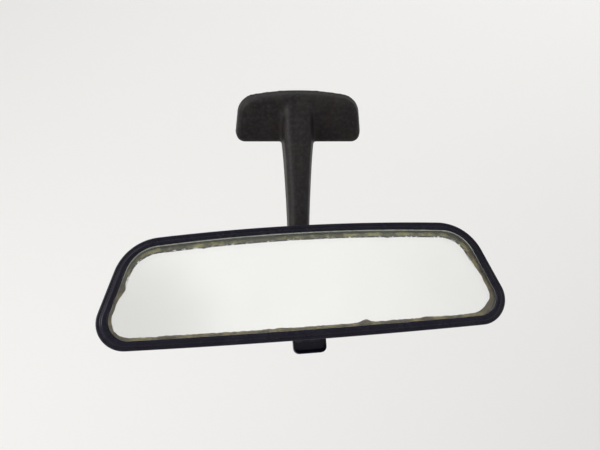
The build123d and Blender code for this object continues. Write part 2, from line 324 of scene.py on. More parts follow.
@dataclass(frozen=True)
class Outline:
    """Rounded trapezoid with a bowed top and bottom, as in the CAD, in millimetres."""

    bottom: float
    top: float
    height: float
    rise_top: float
    rise_bottom: float
    r_low: float
    r_up: float
    shift: float = 0.0
    across: float = 0.0
    straight: int = 22
    corner: int = 18

    def half(self) -> list[tuple[Vector, Vector]]:
        """Points and outward directions from the bottom middle round the right to the top middle."""
        low, high = self.shift - self.height / 2, self.shift + self.height / 2
        a, b = Vector((self.bottom, low)), Vector((self.top, high))
        along = (b - a).normalized()
        inward = Vector((-along.y, along.x))

        def lower(x: float) -> float:
            """Height of the bottom edge."""
            return low - self.rise_bottom * (1 - (x / self.bottom) ** 2)

        def upper(x: float) -> float:
            """Height of the top edge."""
            return high + self.rise_top * (1 - (x / self.top) ** 2)

        def slope(curve: Callable[[float], float], x: float) -> float:
            """Slope of an edge."""
            return (curve(x + 0.01) - curve(x - 0.01)) / 0.02

        def arc(middle: Vector, radius: float, first: float, last: float) -> list[tuple[Vector, Vector]]:
            """Points and outward directions round one corner."""
            turns = [first + (last - first) * i / self.corner for i in range(self.corner + 1)]
            ways = [Vector((math.cos(t), math.sin(t))) for t in turns]
            return [(middle + n * radius, n) for n in ways]

        def centre(
            curve: Callable[[float], float],
            start: Vector,
            direction: Vector,
            radius: float,
        ) -> Vector:
            """Centre of the corner that touches an edge and the side, found by halving."""
            near, far = -10.0, self.height
            for _ in range(50):
                middle = (near + far) / 2
                c = start + direction * middle + inward * radius
                clear = abs(curve(c.x) - c.y) / math.hypot(1, slope(curve, c.x))
                outside = (c.y - curve(c.x)) * (1 if direction.y > 0 else -1) < 0
                if outside or clear < radius:
                    near = middle
                else:
                    far = middle
            return start + direction * near + inward * radius

        c_low = centre(lower, a, along, self.r_low)
        c_up = centre(upper, b, -along, self.r_up)
        side = math.atan2(-inward.y, -inward.x)
        s_low, s_up = slope(lower, c_low.x), slope(upper, c_up.x)
        down = math.atan2(-1.0, s_low)
        rise = math.atan2(1.0, -s_up)
        x_low = c_low.x + self.r_low * math.cos(down)
        x_up = c_up.x + self.r_up * math.cos(rise)
        path: list[tuple[Vector, Vector]] = []
        for i in range(self.straight):
            x = x_low * i / self.straight
            s = slope(lower, x)
            path.append((Vector((x, lower(x))), Vector((s, -1)).normalized()))
        path += arc(c_low, self.r_low, down, side)
        start, end = c_low - inward * self.r_low, c_up - inward * self.r_up
        for i in range(1, 8):
            path.append((start.lerp(end, i / 8), -inward))
        path += arc(c_up, self.r_up, side, rise)
        for i in range(self.straight):
            x = x_up * (1 - (i + 1) / self.straight)
            s = slope(upper, x)
            path.append((Vector((x, upper(x))), Vector((-s, 1)).normalized()))
        return path

    def points(self) -> list[tuple[Vector, Vector]]:
        """The whole outline, once round, with its outward directions."""
        right = self.half()
        left = [(Vector((-p.x, p.y)), Vector((-n.x, n.y))) for p, n in reversed(right[1:-1])]
        return right + left

    def ring(
        self,
        inset: float,
        z: float | Callable[[Vector], float],
        ragged: Optional[Callable[[Vector], float]] = None,
    ) -> list[Vector]:
        """One ring of points.

        Args:
            inset: distance inside the outline.
            z: height of the ring, or a height for each point.
            ragged: extra inset for each point, for a torn edge.

        Returns:
            Points in millimetres.
        """
        ring = []
        for p, n in self.points():
            q = p - n * (inset + (ragged(p) if ragged else 0.0))
            ring.append(Vector((q.x + self.across, q.y, z(q) if callable(z) else z)))
        return ring


CASE = Outline(128.6, 101.5, 61.45, 4.05, 1.7, 15.8, 30.6, -0.325)
OPENING = Outline(119.5, 97.6, 51.4, 4.3, 1.1, 11.2, 22.0, -0.05, 0.5)
SILVER_EDGE = replace(OPENING, straight=150, corner=44)
FOOT_EDGE = Outline(41.2, 38.0, 29.3, 4.7, 0.001, 6.0, 13.0, -2.35, straight=14, corner=14)
POCKET_EDGE = Outline(32.0, 32.0, 25.0, 0.001, 0.001, 8.0, 8.0, straight=6, corner=8)


# ---------------------------------------------------------------- shader groups

def socket(group: Tree, name: str, way: str, kind: str, value: object = None) -> None:
    """Add a named socket to a shader group."""
    item = group.interface.new_socket(name=name, in_out=way, socket_type=kind)
    if value is not None:
        item.default_value = value


def wire(tree: Tree, *links: tuple) -> None:
    """Link pairs of sockets."""
    for a, b in links:
        tree.links.new(a, b)


def new_group(name: str) -> tuple[Tree, Node, Node]:
    """An empty shader group with its input and output nodes."""
    group = bpy.data.node_groups.new(name, "ShaderNodeTree")
    return group, group.nodes.new("NodeGroupInput"), group.nodes.new("NodeGroupOutput")


def feed(tree: Tree, value: object, target: Socket) -> None:
    """Link a socket to an input, or set the input to a value."""
    if isinstance(value, Socket):
        tree.links.new(value, target)
    else:
        target.default_value = value


def math_node(tree: Tree, operation: str, a: object, b: object = 0.0, clamp: bool = False) -> Socket:
    """A Math node; a and b are sockets or numbers."""
    node = tree.nodes.new("ShaderNodeMath")
    node.operation = operation
    node.use_clamp = clamp
    feed(tree, a, node.inputs[0])
    feed(tree, b, node.inputs[1])
    return node.outputs[0]


def plus(tree: Tree, a: object, b: object, clamp: bool = False) -> Socket:
    """Sum of two sockets or numbers."""
    return math_node(tree, "ADD", a, b, clamp)


def times(tree: Tree, a: object, b: object, clamp: bool = False) -> Socket:
    """Product of two sockets or numbers."""
    return math_node(tree, "MULTIPLY", a, b, clamp)


def noise_node(tree: Tree, vector: Socket, scale: object, detail: float = 3.0, rough: float = 0.55) -> Socket:
    """A Noise texture's value."""
    node = tree.nodes.new("ShaderNodeTexNoise")
    for name, value in (("Vector", vector), ("Scale", scale), ("Detail", detail), ("Roughness", rough)):
        feed(tree, value, node.inputs[name])
    return node.outputs["Fac"]


def mix_colour(tree: Tree, factor: object, a: object, b: object) -> Socket:
    """A colour Mix node; the factor is a socket or a number, the colours sockets or triples."""
    node = tree.nodes.new("ShaderNodeMix")
    node.data_type = "RGBA"
    for index, value in ((0, factor), (6, a), (7, b)):
        feed(tree, (*value, 1.0) if isinstance(value, tuple) else value, node.inputs[index])
    return node.outputs[2]


def remap(tree: Tree, value: Socket, low: object, high: object) -> Socket:
    """Map low..high to 0..1 with soft ends."""
    node = tree.nodes.new("ShaderNodeMapRange")
    node.interpolation_type = "SMOOTHSTEP"
    for target, given in zip(node.inputs, (value, low, high)):
        feed(tree, given, target)
    return node.outputs[0]


def stretched(tree: Tree, where: Socket, scale: Triple, turn: Triple = (0.0, 0.0, 0.0)) -> Socket:
    """Coordinates turned and scaled by a Mapping node."""
    node = tree.nodes.new("ShaderNodeMapping")
    node.inputs["Rotation"].default_value = turn
    node.inputs["Scale"].default_value = scale
    wire(tree, (where, node.inputs["Vector"]))
    return node.outputs[0]


def axes(tree: Tree, where: Socket) -> dict[str, Socket]:
    """Coordinates taken apart into X, Y and Z."""
    node = tree.nodes.new("ShaderNodeSeparateXYZ")
    wire(tree, (where, node.inputs[0]))
    return {name: node.outputs[name] for name in "XYZ"}


def lofted_share(tree: Tree) -> Socket:
    """The number that loft keeps for each point."""
    node = tree.nodes.new("ShaderNodeAttribute")
    node.attribute_name = "share"
    return node.outputs["Fac"]


def grain_group() -> Tree:
    """Moulded grain: a bump height of soft cells and a slow mottling of the colour."""
    group, come, go = new_group("moulded_grain")
    socket(group, "Vector", "INPUT", "NodeSocketVector")
    socket(group, "Scale", "INPUT", "NodeSocketFloat", 2500.0)
    socket(group, "Height", "OUTPUT", "NodeSocketFloat")
    socket(group, "Mottle", "OUTPUT", "NodeSocketFloat")
    cells = group.nodes.new("ShaderNodeTexVoronoi")
    cells.feature = "SMOOTH_F1"
    cells.inputs["Smoothness"].default_value = 0.6
    warp = noise_node(group, come.outputs["Vector"], 900.0, 2.0)
    shifted = group.nodes.new("ShaderNodeVectorMath")
    shifted.operation = "MULTIPLY_ADD"
    wire(
        group,
        (warp, shifted.inputs[0]),
        (come.outputs["Vector"], shifted.inputs[2]),
        (shifted.outputs[0], cells.inputs["Vector"]),
        (come.outputs["Scale"], cells.inputs["Scale"]),
    )
    shifted.inputs[1].default_value = (0.0003, 0.0003, 0.0003)
    fine = noise_node(group, come.outputs["Vector"], times(group, come.outputs["Scale"], 2.2), 4.0, 0.6)
    height = plus(group, times(group, cells.outputs["Distance"], 0.7), times(group, fine, 0.5))
    slow = noise_node(group, come.outputs["Vector"], 60.0, 5.0, 0.6)
    wire(group, (height, go.inputs["Height"]), (slow, go.inputs["Mottle"]))
    return group


def wear_group() -> Tree:
    """Rubbed edges: a mask where the surface is convex, broken up by noise."""
    group, come, go = new_group("rubbed_edges")
    socket(group, "Vector", "INPUT", "NodeSocketVector")
    socket(group, "Pointiness", "INPUT", "NodeSocketFloat", 0.5)
    socket(group, "Start", "INPUT", "NodeSocketFloat", 0.52)
    socket(group, "Full", "INPUT", "NodeSocketFloat", 0.6)
    socket(group, "Mask", "OUTPUT", "NodeSocketFloat")
    edge = remap(group, come.outputs["Pointiness"], come.outputs["Start"], come.outputs["Full"])
    broken = remap(group, noise_node(group, come.outputs["Vector"], 420.0, 6.0, 0.65), 0.36, 0.62)
    mask = times(group, edge, broken, clamp=True)
    wire(group, (mask, go.inputs["Mask"]))
    return group


def dust_group() -> Tree:
    """Thin dust and hairline scratches: two masks for colour and roughness."""
    group, come, go = new_group("dust_and_hairlines")
    socket(group, "Vector", "INPUT", "NodeSocketVector")
    socket(group, "Amount", "INPUT", "NodeSocketFloat", 0.3)
    socket(group, "Dust", "OUTPUT", "NodeSocketFloat")
    socket(group, "Hairlines", "OUTPUT", "NodeSocketFloat")
    cloud = remap(group, noise_node(group, come.outputs["Vector"], 95.0, 7.0, 0.62), 0.42, 0.72)
    specks = remap(group, noise_node(group, come.outputs["Vector"], 2600.0, 2.0), 0.66, 0.74)
    both = times(group, plus(group, times(group, cloud, 0.5), specks, clamp=True), come.outputs["Amount"])
    scratched = stretched(group, come.outputs["Vector"], (60.0, 1400.0, 1400.0), (0.2, 0.9, 0.3))
    lines = remap(group, noise_node(group, scratched, 1.0, 2.0), 0.69, 0.74)
    wire(group, (both, go.inputs["Dust"]), (lines, go.inputs["Hairlines"]))
    return group


GROUPS: dict[str, Tree] = {}


def group_node(tree: Tree, maker: Callable[[], Tree], **values: object) -> Node:
    """Place a shared group in a material, building it the first time.

    Args:
        tree: the material's nodes.
        maker: the function that builds the group.
        values: numbers or sockets for its named inputs.

    Returns:
        The group node.
    """
    if maker.__name__ not in GROUPS:
        GROUPS[maker.__name__] = maker()
    node = tree.nodes.new("ShaderNodeGroup")
    node.node_tree = GROUPS[maker.__name__]
    for name, value in values.items():
        feed(tree, value, node.inputs[name])
    return node


# ---------------------------------------------------------------- finishes

def blank(name: str) -> tuple[Material, Tree, Node, Socket]:
    """A new material with its Principled shader and the object's own coordinates."""
    material = bpy.data.materials.new(name)
    material.use_nodes = True
    tree = material.node_tree
    shader = next(n for n in tree.nodes if n.type == "BSDF_PRINCIPLED")
    coordinates = tree.nodes.new("ShaderNodeTexCoord")
    return material, tree, shader, coordinates.outputs["Object"]


def bump(tree: Tree, shader: Node, height: Socket, distance: float, strength: float) -> None:
    """Feed a height to the shader's normal."""
    node = tree.nodes.new("ShaderNodeBump")
    node.inputs["Distance"].default_value = distance
    node.inputs["Strength"].default_value = strength
    tree.links.new(height, node.inputs["Height"])
    tree.links.new(node.outputs["Normal"], shader.inputs["Normal"])


@dataclass(frozen=True)
class Plastic:
    """Moulded black plastic: base colour, grain, rubbed edges and a little dust."""

    name: str
    colour: Triple
    warm: Triple
    worn: Triple
    roughness: float
    specular: float
    grain: float = 2500.0
    depth: float = 0.00003
    strength: float = 0.4
    dust: float = 0.1
    wear: float = 1.0
    fleck: float = 0.04
    edge: tuple[float, float] = (0.52, 0.6)

    def material(self) -> Material:
        """Build the material."""
        material, tree, shader, where = blank(self.name)
        point = tree.nodes.new("ShaderNodeNewGeometry").outputs["Pointiness"]
        grain = group_node(tree, grain_group, Vector=where, Scale=self.grain)
        first, full = self.edge
        rubbed = group_node(tree, wear_group, Vector=where, Pointiness=point, Start=first, Full=full)
        dust = group_node(tree, dust_group, Vector=where, Amount=self.dust)
        base = mix_colour(tree, remap(tree, grain.outputs["Mottle"], 0.42, 0.62), self.colour, self.warm)
        worn = mix_colour(tree, times(tree, rubbed.outputs["Mask"], self.wear, clamp=True), base, self.worn)
        flecks = remap(tree, noise_node(tree, where, self.grain * 0.3, 4.0, 0.75), 0.4, 0.8)
        flecked = mix_colour(tree, times(tree, flecks, self.fleck), worn, (0.085, 0.082, 0.084))
        dusty = mix_colour(tree, dust.outputs["Dust"], flecked, (0.30, 0.29, 0.28))
        wire(tree, (dusty, shader.inputs["Base Color"]))
        rough = plus(tree, times(tree, grain.outputs["Mottle"], 0.12), self.roughness - 0.06)
        rough = plus(tree, rough, times(tree, dust.outputs["Hairlines"], 0.12), clamp=True)
        wire(tree, (rough, shader.inputs["Roughness"]))
        shader.inputs["Specular IOR Level"].default_value = self.specular
        bump(tree, shader, grain.outputs["Height"], self.depth, self.strength)
        return material


@dataclass(frozen=True)
class Metal:
    """Bare or plated metal with brushed variation."""

    name: str
    colour: Triple
    roughness: float
    brushed: float = 0.1
    tint: Triple = (0.35, 0.32, 0.27)

    def material(self) -> Material:
        """Build the material."""
        material, tree, shader, where = blank(self.name)
        shader.inputs["Metallic"].default_value = 1.0
        slow = noise_node(tree, where, 180.0, 6.0, 0.65)
        colour = mix_colour(tree, remap(tree, slow, 0.5, 0.78), self.colour, self.tint)
        wire(tree, (colour, shader.inputs["Base Color"]))
        lines = noise_node(tree, stretched(tree, where, (300.0, 4000.0, 4000.0)), 1.0)
        rough = plus(tree, times(tree, lines, self.brushed), self.roughness, clamp=True)
        wire(tree, (rough, shader.inputs["Roughness"]))
        bump(tree, shader, lines, 0.00001, 0.25)
        return material


@dataclass(frozen=True)
class Soft:
    """Rubber, foam or nylon: one tone broken by noise."""

    name: str
    colour: Triple
    second: Triple
    roughness: float
    scale: float = 900.0
    depth: float = 0.00005

    def material(self) -> Material:
        """Build the material."""
        material, tree, shader, where = blank(self.name)
        speck = noise_node(tree, where, self.scale, 5.0, 0.6)
        colour = mix_colour(tree, remap(tree, speck, 0.4, 0.65), self.colour, self.second)
        rough = plus(tree, times(tree, speck, 0.15), self.roughness - 0.07, clamp=True)
        wire(tree, (colour, shader.inputs["Base Color"]), (rough, shader.inputs["Roughness"]))
        bump(tree, shader, speck, self.depth, 0.5)
        return material


@dataclass(frozen=True)
class ClearGlass:
    """Clear prism glass with a faint green body."""

    name: str = "prism_glass"

    def material(self) -> Material:
        """Build the material."""
        material, tree, shader, where = blank(self.name)
        shader.inputs["Transmission Weight"].default_value = 1.0
        shader.inputs["IOR"].default_value = 1.5
        shader.inputs["Base Color"].default_value = (0.986, 0.989, 0.985, 1)
        smear = remap(tree, noise_node(tree, where, 40.0, 6.0, 0.7), 0.55, 0.85)
        wire(tree, (times(tree, smear, 0.02), shader.inputs["Roughness"]))
        return material


@dataclass(frozen=True)
class Silver:
    """Mirror coating, a touch duller towards its torn edge."""

    name: str = "silver_coat"

    def material(self) -> Material:
        """Build the material."""
        material, tree, shader, where = blank(self.name)
        shader.inputs["Metallic"].default_value = 1.0
        cloud = noise_node(tree, where, 25.0, 4.0)
        dull = remap(tree, cloud, 0.35, 0.75)
        colour = mix_colour(tree, dull, (0.985, 0.982, 0.972), (0.965, 0.962, 0.952))
        specks = remap(tree, noise_node(tree, where, 700.0, 4.0), 0.3, 0.5)
        black = times(tree, lofted_share(tree), specks, clamp=True)
        wire(tree, (mix_colour(tree, black, colour, (0.06, 0.058, 0.06)), shader.inputs["Base Color"]))
        rough = plus(tree, times(tree, cloud, 0.02), times(tree, black, 0.5))
        wire(tree, (rough, shader.inputs["Roughness"]))
        return material


@dataclass(frozen=True)
class AgedSealant:
    """Sealant seen through the glass: grey olive along the top, browner at the ends, in patches, with painted
    shadow darkening it towards the rim at the ends.
    """

    name: str = "aged_sealant"

    def material(self) -> Material:
        """Build the material."""
        material, tree, shader, where = blank(self.name)
        at = axes(tree, where)
        ends = remap(tree, math_node(tree, "ABSOLUTE", at["X"]), 0.085, 0.112)
        patch = remap(tree, noise_node(tree, where, 110.0, 4.0, 0.6), 0.42, 0.62)
        small = remap(tree, noise_node(tree, where, 900.0, 4.0, 0.6), 0.35, 0.7)
        waver = times(tree, math_node(tree, "SUBTRACT", noise_node(tree, where, 380.0, 4.0), 0.5), 0.5)
        along = plus(tree, lofted_share(tree), waver)
        band = remap(tree, along, 0.36, 0.5)
        olive = mix_colour(tree, patch, (0.12, 0.122, 0.05), (0.42, 0.40, 0.15))
        grey = mix_colour(tree, small, (0.075, 0.085, 0.072), (0.13, 0.142, 0.112))
        above = mix_colour(tree, band, grey, olive)
        brown = mix_colour(tree, patch, (0.085, 0.055, 0.012), (0.23, 0.175, 0.055))
        low = times(tree, remap(tree, at["Z"], -0.118, -0.13), 0.75)
        tone = mix_colour(tree, math_node(tree, "MAXIMUM", ends, low), above, brown)
        # Painted shadow: at the ends the band is darkened towards the rim, where the rim's shade falls on it.
        painted_rim_shadow = times(tree, remap(tree, along, 0.45, 0.1), ends)
        tone = mix_colour(tree, painted_rim_shadow, tone, (0.018, 0.016, 0.012))
        tone = mix_colour(tree, times(tree, small, 0.3), tone, (0.06, 0.055, 0.03))
        wire(tree, (tone, shader.inputs["Base Color"]))
        wire(tree, (plus(tree, times(tree, small, 0.2), 0.55), shader.inputs["Roughness"]))
        bump(tree, shader, small, 0.00008, 0.5)
        return material


STEM_PLASTIC = Plastic(
    "stem_plastic",
    colour=(0.0062, 0.0046, 0.0053),
    warm=(0.0094, 0.0068, 0.0068),
    worn=(0.05, 0.046, 0.046),
    roughness=0.5,
    specular=0.16,
    grain=1500.0,
    depth=0.00011,
    strength=0.85,
    dust=0.03,
    wear=0.45,
    fleck=0.16,
    edge=(0.51, 0.58),
)
CASE_PLASTIC = Plastic(
    "case_plastic",
    colour=(0.0034, 0.0028, 0.0085),
    warm=(0.0042, 0.0036, 0.0096),
    worn=(0.03, 0.029, 0.034),
    roughness=0.3,
    specular=0.14,
    grain=3200.0,
    depth=0.000012,
    strength=0.3,
    dust=0.03,
    wear=0.2,
)
BEZEL_PLASTIC = Plastic(
    "bezel_plastic",
    colour=(0.0032, 0.0026, 0.0085),
    warm=(0.004, 0.0034, 0.0096),
    worn=(0.03, 0.029, 0.034),
    roughness=0.27,
    specular=0.14,
    grain=3200.0,
    depth=0.00001,
    strength=0.25,
    dust=0.025,
    wear=0.2,
)
LEVER_PLASTIC = Plastic(
    "lever_plastic",
    colour=(0.0028, 0.0024, 0.0075),
    warm=(0.0038, 0.0034, 0.009),
    worn=(0.06, 0.058, 0.066),
    roughness=0.3,
    specular=0.11,
    grain=2600.0,
    depth=0.00002,
    strength=0.3,
    dust=0.04,
    wear=0.5,
)
# Pale frosted glass for the ground edge: partly the real frosted edge, partly a painted highlight along it.
FROSTED_HIGHLIGHT = Soft("ground_glass_highlight", (0.36, 0.38, 0.33), (0.24, 0.26, 0.22), 0.5, 350.0, 0.00002)
CARRIER_PLASTIC = Plastic(
    "carrier_plastic",
    colour=(0.03, 0.03, 0.033),
    warm=(0.036, 0.035, 0.036),
    worn=(0.08, 0.08, 0.08),
    roughness=0.55,
    specular=0.4,
)
CLAMP_METAL = Metal("clamp_steel", (0.09, 0.09, 0.1), 0.42, 0.12, (0.05, 0.045, 0.04))
ZINC = Metal("zinc_steel", (0.62, 0.63, 0.6), 0.3, 0.15, (0.5, 0.46, 0.33))
SPRING = Metal("spring_steel", (0.34, 0.34, 0.36), 0.3, 0.1, (0.2, 0.17, 0.14))
PIN = Metal("pin_steel", (0.66, 0.66, 0.67), 0.22, 0.06)
CHROME = Metal("stud_chrome", (0.74, 0.74, 0.76), 0.12, 0.04)
NYLON = Soft("race_nylon", (0.72, 0.7, 0.63), (0.66, 0.63, 0.55), 0.45, 700.0, 0.00002)
FOAM = Soft("pad_foam", (0.03, 0.03, 0.03), (0.06, 0.06, 0.06), 0.9, 2500.0, 0.0003)
RUBBER = Soft("gasket_rubber", (0.014, 0.014, 0.014), (0.022, 0.021, 0.02), 0.8, 1500.0, 0.00005)


# ---------------------------------------------------------------- pieces

def dress(obj: Obj, finish: object) -> Obj:
    """Give a new piece its one finish."""
    obj.data.materials.clear()
    obj.data.materials.append(finish.material())
    return obj


def place_piece(obj: Obj, body: str, slot: str, *nodes: str) -> Obj:
    """Ride a piece on a body and hide the CAD nodes it stands for."""
    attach(obj, body)
    if nodes:
        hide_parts(*nodes)
    log.info("piece %s rides on %s, %d faces", obj.name, body, len(obj.data.polygons))
    return obj


@dataclass
class Stem:
    """Foot and arm in one moulding, with the roof hardware inside the foot."""

    rim: float = 1.0
    thick: float = 9.0
    draft: float = math.radians(9.0)
    edge: float = 3.4
    voxel: float = 0.55
    corner_front: float = 5.6
    corner_back: float = 1.3
    grow: float = 0.5
    lean: float = -0.3
    ball_r: float = 6.5
    shank_r: float = 3.5
    sections: list[tuple[float, float, float, float, float]] = field(default_factory=lambda: [
        (-115.2, -8.0, 4.6, 9.4, 12.6),
        (-98.0, -8.6, 4.9, 9.7, 12.8),
        (-82.0, -9.2, 5.2, 10.0, 13.2),
        (-69.0, -9.65, 5.6, 10.8, 13.9),
        (-56.0, -10.1, 6.0, 11.7, 15.0),
        (-43.0, -10.55, 6.4, 13.0, 16.4),
        (-30.0, -11.0, 6.8, 14.4, 18.0),
        (-23.0, -11.3, 7.0, 15.4, 19.2),
        (-17.0, -11.7, 7.2, 16.4, 20.4),
        (-11.5, -12.2, 7.4, 17.0, 21.1),
        (-6.0, -12.8, 7.6, 17.4, 21.6),
        (-0.5, -13.8, 7.7, 17.8, 22.0),
        (4.5, -15.0, 7.8, 18.0, 22.4),
    ])

    def foot(self) -> Obj:
        """The foot: its outline drawn up with draft and a rounded edge."""
        rings = []
        for i in range(4):
            z = self.rim + (self.thick - self.edge - self.rim) * i / 3
            rings.append(FOOT_EDGE.ring((z - self.rim) * math.tan(self.draft) - 0.3, z))
        base = (self.thick - self.edge - self.rim) * math.tan(self.draft)
        for across, along in quarter(8):
            inset = base + self.edge * across * 0.95
            rings.append(FOOT_EDGE.ring(min(inset, 3.9) - 0.3, self.thick - self.edge + self.edge * along))
        foot = loft(rings)
        to_row(foot, FOOT)
        return foot

    def section(
        self,
        z: float,
        front: float,
        back: float,
        wide_front: float,
        wide_back: float,
    ) -> list[Vector]:
        """One cross-section of the arm, level with the floor: a crowned face between rounded corners."""
        corner_front = min(self.corner_front, wide_front / 2 - 0.4)
        corners = [
            (Vector((self.lean + wide_back / 2 + self.grow, back)), self.corner_back),
            (Vector((self.lean - wide_back / 2 - self.grow, back)), self.corner_back),
            (Vector((self.lean - wide_front / 2 - self.grow, front - 0.2)), corner_front),
            (Vector((self.lean + wide_front / 2 + self.grow, front - 0.2)), corner_front),
        ]
        ring = []
        for i, (corner, radius) in enumerate(corners):
            before = (corners[i - 1][0] - corner).normalized()
            after = (corners[(i + 1) % 4][0] - corner).normalized()
            half = before.angle(after) / 2
            centre = corner + (before + after).normalized() * radius / math.sin(half)
            start = corner + before * radius / math.tan(half) - centre
            end = corner + after * radius / math.tan(half) - centre
            for k in range(13):
                point = centre + start.lerp(end, k / 12).normalized() * radius
                ring.append(Vector((point.x, point.y, z)))
        return ring

    def arm(self) -> Obj:
        """The arm, from the stud boss up into the foot."""
        return loft([self.section(*row) for row in self.sections])

    def blend(self, stem: Obj) -> None:
        """Smooth the inner corners where the arm runs into the foot."""
        group = stem.vertex_groups.new(name="blend")
        into = FOOT.inverted()
        for vertex in stem.data.vertices:
            at = into @ (vertex.co * MM)
            along = ramp(at.z, 5.5, 8.0) * ramp(at.y, 13.0, 9.0)
            near = falloff(abs(at.x) - 10.6, 4.2, 4) * falloff(max(0.0, at.z - 11.5), 4.5)
            if at.y > -16.0 and along * near > 0.02:
                group.add([vertex.index], along * near, "REPLACE")
        modify(stem, "SMOOTH", vertex_group="blend", factor=0.5, iterations=70)
        apply_modifiers(stem)

    def build(self) -> Obj:
        """Union of foot, arm and boss, cored, blended at its inner corners."""
        deselect()
        boss = loft(round_bar([(14.0, 6.2), (14.7, 6.9), (25.8, 6.9), (26.5, 6.2)]))
        to_row(boss, STUD)
        arm = self.arm()
        roof = rounded_block((120, 60, 40), (0, 0, 0), 0.01, 1)
        roof.data.transform(Matrix.Translation((0, 0, self.rim - 20)))
        to_row(roof, FOOT)
        cut(arm, roof)
        stem = join([self.foot(), arm, boss])
        modify(stem, "REMESH", mode="VOXEL", voxel_size=self.voxel)
        apply_modifiers(stem)
        levels = ((0.0, -15.0), (0.0, self.rim + 4.4), (0.6, self.rim + 5.0))
        pocket = loft([POCKET_EDGE.ring(inset, z) for inset, z in levels])
        to_row(pocket, FOOT)
        core = rounded_block((6.4, 20, 70), (0, 8.5, -64), 2.5, 4)
        bore = loft(round_bar([(13.0, self.shank_r), (23.0, self.shank_r)]))
        to_row(bore, STUD)
        for tool in (pocket, core, bore):
            cut(stem, tool)
        modify(stem, "REMESH", mode="VOXEL", voxel_size=self.voxel)
        modify(stem, "SMOOTH", factor=0.5, iterations=7)
        apply_modifiers(stem)
        self.blend(stem)
        settle(stem, "stem_moulding", UPRIGHT)
        take(stem)
        bpy.ops.object.shade_smooth()
        dress(stem, STEM_PLASTIC)
        return place_piece(stem, "stem", "stem_plastic", "stem")

    def stud(self) -> Obj:
        """Ball stud: ball, neck, hexagon collar and shank."""
        angles = [math.pi * i / 24 for i in range(1, 22)]
        rings = [(-self.ball_r * math.cos(t), self.ball_r * math.sin(t)) for t in angles]
        neck = [(5.95, 2.6), (11.4, 2.6), (11.7, 2.9)]
        ball = loft(round_bar(rings + neck, 48))
        collar = loft(round_bar([(11.7, 4.6), (12.0, 5.0), (13.2, 5.0), (13.5, 4.6)], 6))
        shank = loft(round_bar([(13.5, self.shank_r), (23.0, self.shank_r)]))
        obj = join([ball, collar, shank])
        recalculate(obj)
        settle(obj, "ball_stud_turned", STUD)
        smooth(obj)
        dress(obj, CHROME)
        return place_piece(obj, "stem", "stud_chrome", "ball_stud")


